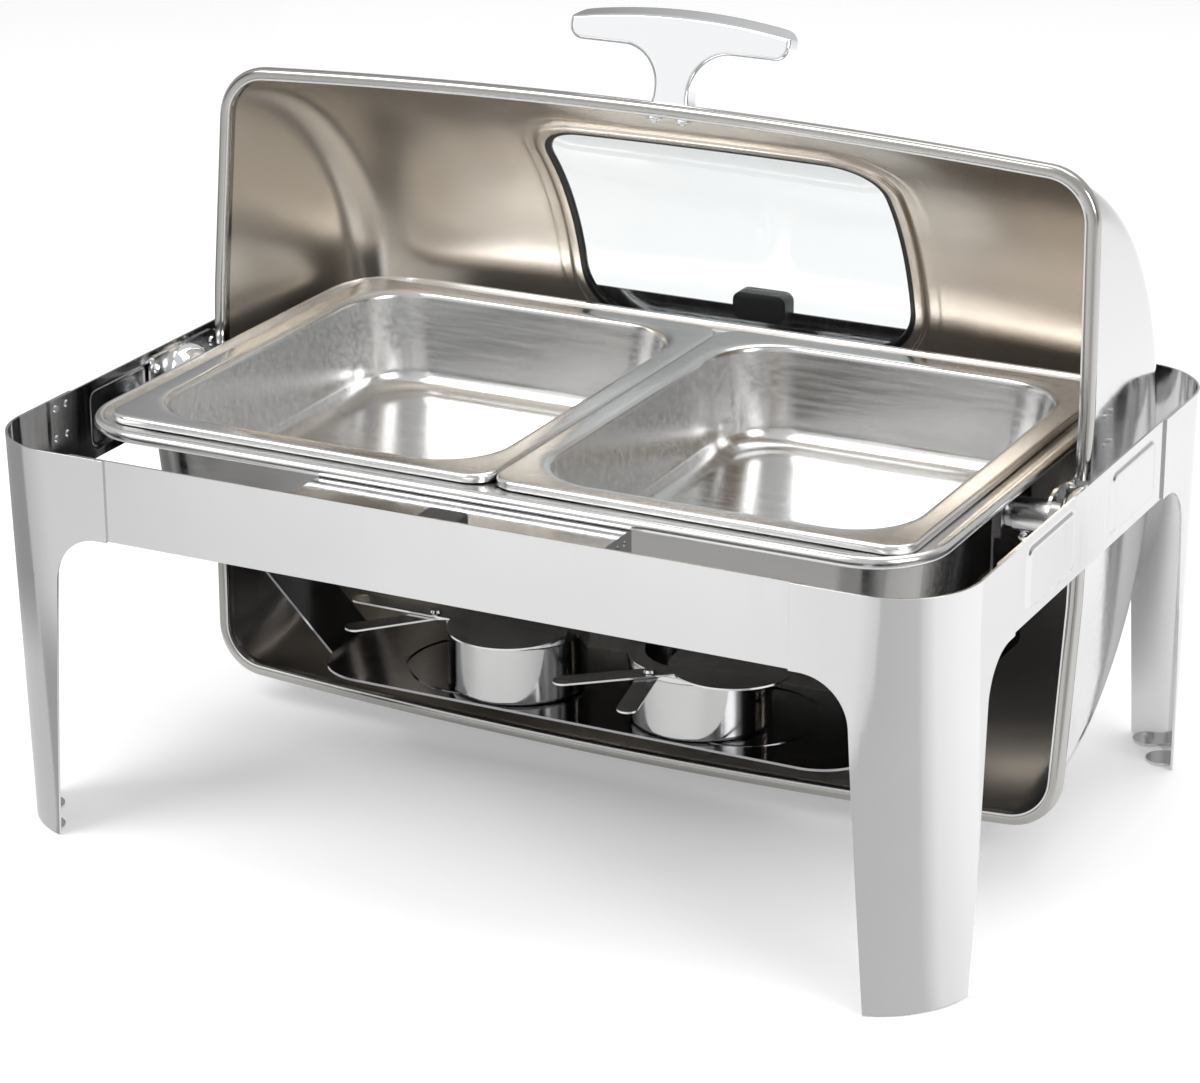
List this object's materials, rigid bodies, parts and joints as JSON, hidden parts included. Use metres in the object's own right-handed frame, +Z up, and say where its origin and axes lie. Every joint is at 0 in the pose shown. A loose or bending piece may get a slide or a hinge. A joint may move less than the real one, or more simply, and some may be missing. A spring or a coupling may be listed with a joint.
{
  "type": "roll top chafer",
  "caption": "Free-standing rectangular roll top chafer: windowed barrel lid on end pivots, half-size food pans in a water pan, and a hung tray of shuttered fuel holders.",
  "frame": {"origin": "centre of the stand's footprint on the floor", "axes": "+X along the front to the right, +Y to the rear, +Z up; the lid is stored open, a little past upright"},
  "size_m": [0.63, 0.46, 0.4775],
  "materials": {
    "polished_steel": "mirror polished stainless sheet",
    "sheet_steel": "bright stainless sheet",
    "satin_steel": "fine satin stainless",
    "chrome": "polished",
    "rubber": "matt black",
    "gasket_rubber": "satin black",
    "glass": "clear, curved"
  },
  "bodies": {
    "stand": {"front_left_leg": "polished_steel", "front_right_leg": "polished_steel", "rear_left_leg": "polished_steel", "rear_right_leg": "polished_steel", "front_rail": "polished_steel", "rear_rail": "polished_steel", "left_side_rail": "polished_steel", "right_side_rail": "polished_steel", "rail_rivets": "chrome", "front_ledge": "sheet_steel", "front_bumper": "rubber", "rear_bumper": "rubber", "left_pivot_plate": "sheet_steel", "right_pivot_plate": "sheet_steel", "pivot_plate_screws": "chrome", "left_pivot_dome": "chrome", "right_pivot_dome": "chrome", "left_pivot_shaft": "chrome", "right_pivot_shaft": "chrome", "shaft_set_screws": "chrome", "fuel_tray": "sheet_steel"},
    "lid": {"lid_shell": "satin_steel", "window_glass": "glass", "window_gasket": "gasket_rubber", "lid_handle": "chrome", "handle_screws": "chrome", "left_lid_hinge_ear": "sheet_steel", "right_lid_hinge_ear": "sheet_steel"},
    "water_pan": {"water_pan": "satin_steel"},
    "left_food_pan": {"left_food_pan": "satin_steel"},
    "right_food_pan": {"right_food_pan": "satin_steel"},
    "left_fuel_holder": {"left_fuel_holder": "sheet_steel", "left_holder_cover": "sheet_steel", "left_shutter_rivet": "chrome"},
    "right_fuel_holder": {"right_fuel_holder": "sheet_steel", "right_holder_cover": "sheet_steel", "right_shutter_rivet": "chrome"},
    "left_shutter": {"left_shutter": "sheet_steel"},
    "right_shutter": {"right_shutter": "sheet_steel"}
  },
  "joints": [
    {"name": "lid_roll", "type": "hinge", "parent": "stand", "child": "lid", "pos_m": [0, 0, 0.226], "axis": [-1, 0, 0], "range_deg": [-92.25, 54.5]},
    {"name": "water_pan_lift", "type": "slide", "parent": "stand", "child": "water_pan", "axis": [0, 0, 1], "range_m": [0, 0.02]},
    {"name": "left_food_pan_lift", "type": "slide", "parent": "water_pan", "child": "left_food_pan", "axis": [0, 0, 1], "range_m": [0, 0.04]},
    {"name": "right_food_pan_lift", "type": "slide", "parent": "water_pan", "child": "right_food_pan", "axis": [0, 0, 1], "range_m": [0, 0.04]},
    {"name": "left_fuel_holder_lift", "type": "slide", "parent": "stand", "child": "left_fuel_holder", "axis": [0, 0, 1], "range_m": [0, 0.04]},
    {"name": "right_fuel_holder_lift", "type": "slide", "parent": "stand", "child": "right_fuel_holder", "axis": [0, 0, 1], "range_m": [0, 0.04]},
    {"name": "left_shutter_swing", "type": "hinge", "parent": "left_fuel_holder", "child": "left_shutter", "pos_m": [-0.10713, -0.03398, 0.108], "axis": [0, 0, 1], "range_deg": [-50, 25]},
    {"name": "right_shutter_swing", "type": "hinge", "parent": "right_fuel_holder", "child": "right_shutter", "pos_m": [0.05719, -0.06286, 0.108], "axis": [0, 0, 1], "range_deg": [-37, 38]}
  ]
}
